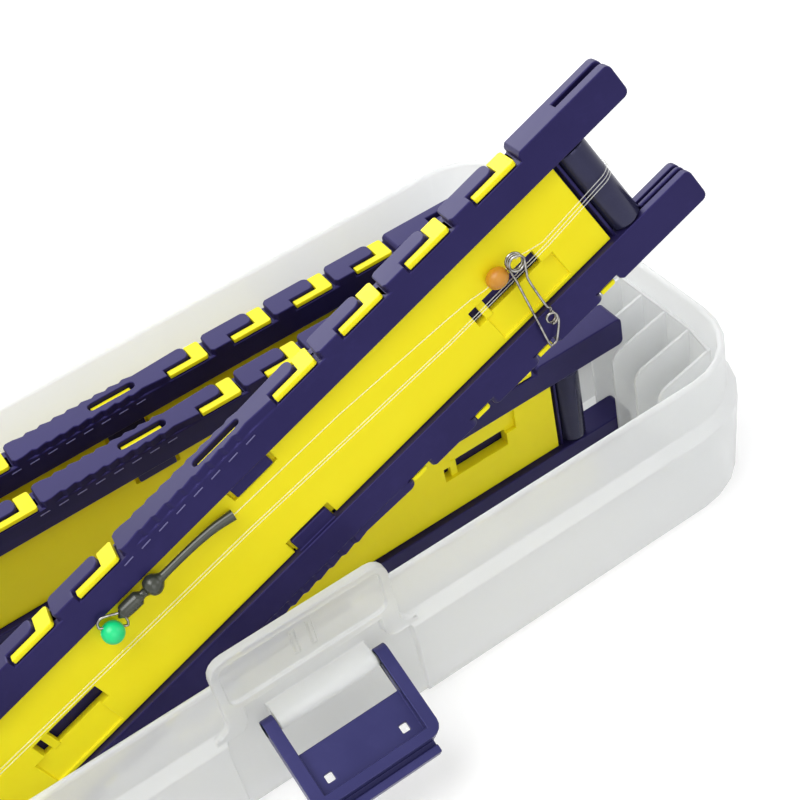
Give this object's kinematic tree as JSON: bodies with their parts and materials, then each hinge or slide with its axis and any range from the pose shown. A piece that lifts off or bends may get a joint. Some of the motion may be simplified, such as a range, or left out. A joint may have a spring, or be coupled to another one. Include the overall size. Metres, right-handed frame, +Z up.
{
  "type": "tackle box",
  "caption": "Open frosted tackle box with a swinging front latch, ribbed slots and rig winding boards with sliding hook cores, one of them tipped up out of the box",
  "frame": {"origin": "middle of the flat underside of the tub", "axes": "+X along the tub's length to the right seen from the latch, +Y from the latch to the rear, +Z up out of the open tub"},
  "size_m": [0.274, 0.1506, 0.1324],
  "materials": {
    "tub_clear": "frosted translucent polypropylene",
    "latch_violet": "satin violet",
    "frame_violet": "satin violet",
    "core_yellow": "satin yellow",
    "bar_slate": "dark slate, half gloss",
    "line_clear": "clear nylon line",
    "wire_steel": "drawn spring wire",
    "seat_rubber": "dark olive, half matt",
    "bead_green": "bright green",
    "bead_orange": "orange, slightly cloudy"
  },
  "bodies": {
    "tub": {"tub": "tub_clear", "left_rib_comb": "tub_clear", "right_rib_comb": "tub_clear"},
    "latch": {"latch": "latch_violet"},
    "rear_board": {"rear_board_frame": "frame_violet", "rear_board_bar_left": "bar_slate", "rear_board_bar_right": "bar_slate"},
    "rear_board_core": {"rear_board_core": "core_yellow"},
    "second_board": {"second_board_frame": "frame_violet", "second_board_bar_left": "bar_slate", "second_board_bar_right": "bar_slate"},
    "second_board_core": {"second_board_core": "core_yellow"},
    "front_board": {"front_board_frame": "frame_violet", "front_board_bar_left": "bar_slate", "front_board_bar_right": "bar_slate"},
    "front_board_core": {"front_board_core": "core_yellow"},
    "raised_board": {"raised_board_frame": "frame_violet", "raised_board_bar_left": "bar_slate", "raised_board_bar_right": "bar_slate", "leader_line": "line_clear", "hook_link": "line_clear", "snap_link": "wire_steel", "bead_link": "wire_steel", "float_seat": "seat_rubber", "stop_bead": "bead_green", "lead_bead": "bead_orange"},
    "raised_board_core": {"raised_board_core": "core_yellow"}
  },
  "joints": [
    {"name": "latch_hinge", "type": "hinge", "parent": "tub", "child": "latch", "pos_m": [0, -0.0646, 0.0294], "axis": [-1, 0, 0], "range_deg": [-65, 115]},
    {"name": "rear_board_lift", "type": "slide", "parent": "tub", "child": "rear_board", "axis": [0, 0, 1], "range_m": [0, 0.06]},
    {"name": "rear_board_core_slide", "type": "slide", "parent": "rear_board", "child": "rear_board_core", "axis": [1, 0, 0], "range_m": [0, 0.0008]},
    {"name": "second_board_lift", "type": "slide", "parent": "tub", "child": "second_board", "axis": [0, 0, 1], "range_m": [0, 0.06]},
    {"name": "second_board_core_slide", "type": "slide", "parent": "second_board", "child": "second_board_core", "axis": [1, 0, 0], "range_m": [0, 0.0008]},
    {"name": "front_board_lift", "type": "slide", "parent": "tub", "child": "front_board", "axis": [0, 0, 1], "range_m": [0, 0.06]},
    {"name": "front_board_core_slide", "type": "slide", "parent": "front_board", "child": "front_board_core", "axis": [1, 0, 0], "range_m": [0, 0.0008]},
    {"name": "raised_board_lift", "type": "slide", "parent": "tub", "child": "raised_board", "axis": [0, 0, 1], "range_m": [0, 0.055]},
    {"name": "raised_board_core_slide", "type": "slide", "parent": "raised_board", "child": "raised_board_core", "axis": [0.9214, -0.029, 0.3875], "range_m": [0, 0.0008]}
  ]
}
